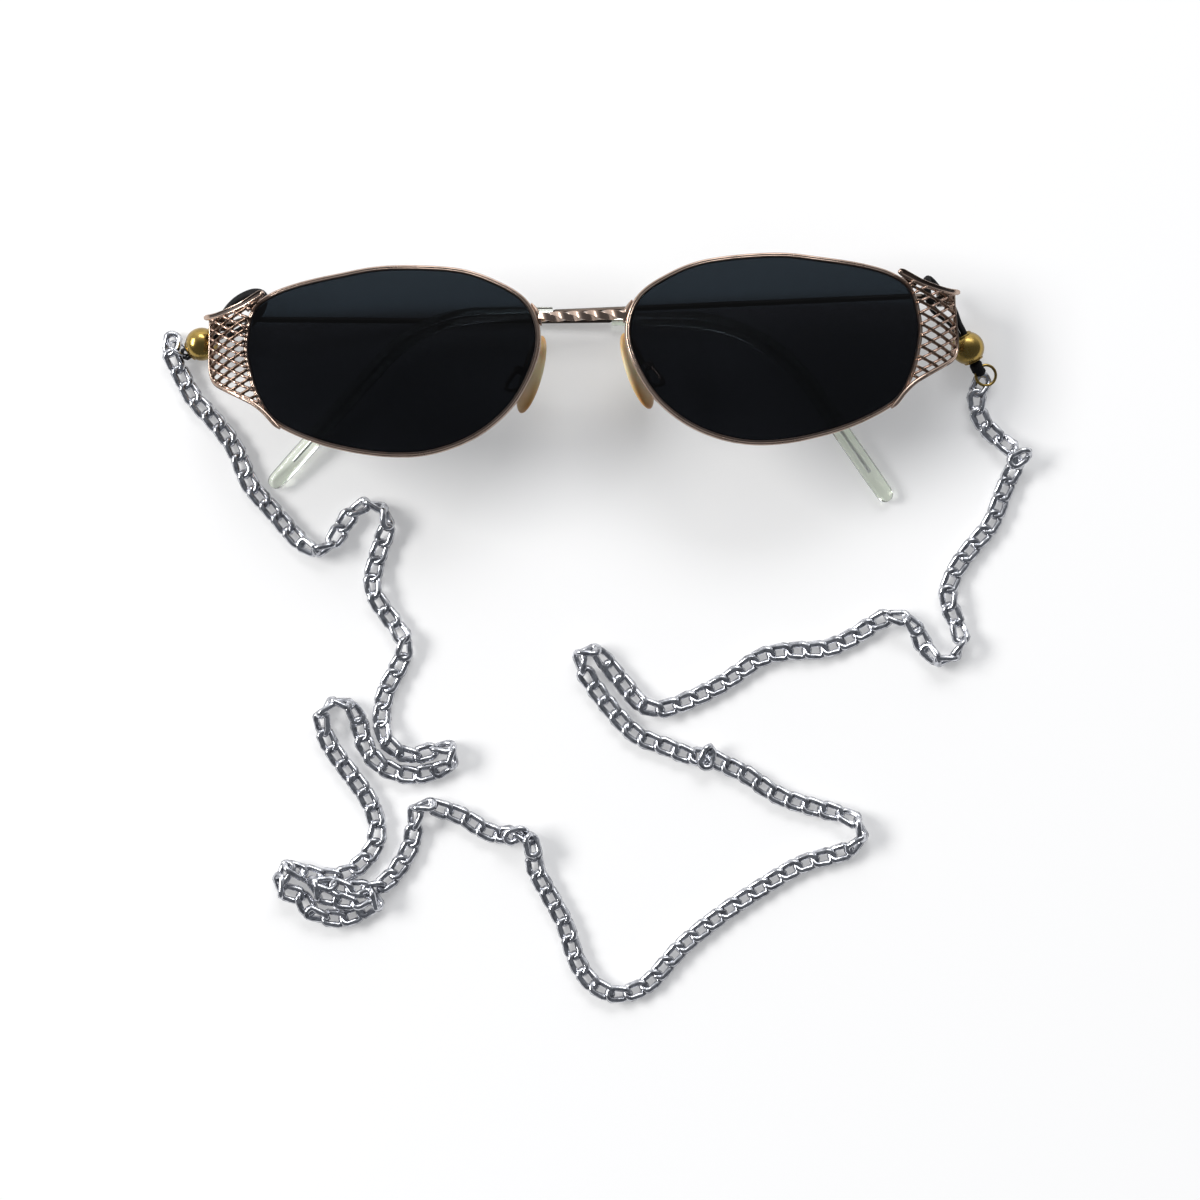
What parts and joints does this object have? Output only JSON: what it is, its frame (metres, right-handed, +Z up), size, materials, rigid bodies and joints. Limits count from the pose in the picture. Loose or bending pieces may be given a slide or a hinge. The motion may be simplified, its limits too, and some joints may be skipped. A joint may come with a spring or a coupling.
{
  "type": "sunglasses with chain",
  "caption": "Metal sunglasses with oval dark lenses, curved openwork side panels and folded temples, held to a flat curb chain by rubber nooses with sliding beads.",
  "frame": {"origin": "on the surface it lies on, under the middle of the folded glasses, chain and cord fittings left out", "axes": "+X towards the wearer's left, +Y towards the top of the lenses, +Z up, the way the lenses face"},
  "size_m": [0.1645, 0.1404, 0.0195],
  "materials": {
    "rose_gold": "polished rose gold plating",
    "steel": "bright wire",
    "dark_lens": "dark grey-green tint, glossy",
    "clear_tip": "clear with a green cast",
    "clear_pad": "clear amber, soft",
    "black_rubber": "smooth matt",
    "gold": "polished gold plating",
    "chrome": "bright silver plating"
  },
  "bodies": {
    "front": {"lens_left": "dark_lens", "rim_left": "rose_gold", "top_rail_left": "rose_gold", "side_rail_left": "rose_gold", "lattice_left": "rose_gold", "rim_lock_left": "rose_gold", "lock_screw_left": "steel", "hinge_front_left": "rose_gold", "hinge_screw_left": "steel", "pad_arm_left": "steel", "pad_screw_left": "steel", "noose_left": "black_rubber", "end_sleeve_left": "black_rubber", "jump_ring_left": "gold", "lens_right": "dark_lens", "rim_right": "rose_gold", "top_rail_right": "rose_gold", "side_rail_right": "rose_gold", "lattice_right": "rose_gold", "rim_lock_right": "rose_gold", "lock_screw_right": "steel", "hinge_front_right": "rose_gold", "hinge_screw_right": "steel", "pad_arm_right": "steel", "pad_screw_right": "steel", "noose_right": "black_rubber", "end_sleeve_right": "black_rubber", "jump_ring_right": "gold", "bridge_bar": "rose_gold", "chain_left": "chrome", "chain_right": "chrome", "chain_pile": "chrome"},
    "temple_left": {"temple_left": "steel", "temple_tip_left": "clear_tip"},
    "temple_right": {"temple_right": "steel", "temple_tip_right": "clear_tip"},
    "pad_left": {"nose_pad_left": "clear_pad"},
    "pad_right": {"nose_pad_right": "clear_pad"},
    "bead_left": {"bead_left": "gold"},
    "bead_right": {"bead_right": "gold"}
  },
  "joints": [
    {"name": "temple_left_fold", "type": "hinge", "parent": "front", "child": "temple_left", "pos_m": [-0.0684, 0.0147, 0.006], "axis": [0, 1, 0], "range_deg": [0, 92], "deforming": ["noose_left"]},
    {"name": "temple_right_fold", "type": "hinge", "parent": "front", "child": "temple_right", "pos_m": [0.0684, 0.0147, 0.006], "axis": [0, -1, 0], "range_deg": [0, 92], "deforming": ["noose_right"]},
    {"name": "pad_left_rock", "type": "hinge", "parent": "front", "child": "pad_left", "pos_m": [-0.0118, 0.0035, 0.0095], "axis": [0.4782, -0.1462, 0.866], "range_deg": [-8, 8]},
    {"name": "pad_right_rock", "type": "hinge", "parent": "front", "child": "pad_right", "pos_m": [0.0118, 0.0035, 0.0095], "axis": [-0.4782, -0.1462, 0.866], "range_deg": [-8, 8]},
    {"name": "bead_left_slide", "type": "slide", "parent": "front", "child": "bead_left", "axis": [0.8696, 0.4598, 0.1799], "range_m": [0, 0.0012], "deforming": ["noose_left"]},
    {"name": "bead_right_slide", "type": "slide", "parent": "front", "child": "bead_right", "axis": [-0.4302, 0.8803, 0.2001], "range_m": [0, 0.0012], "deforming": ["noose_right"]}
  ]
}
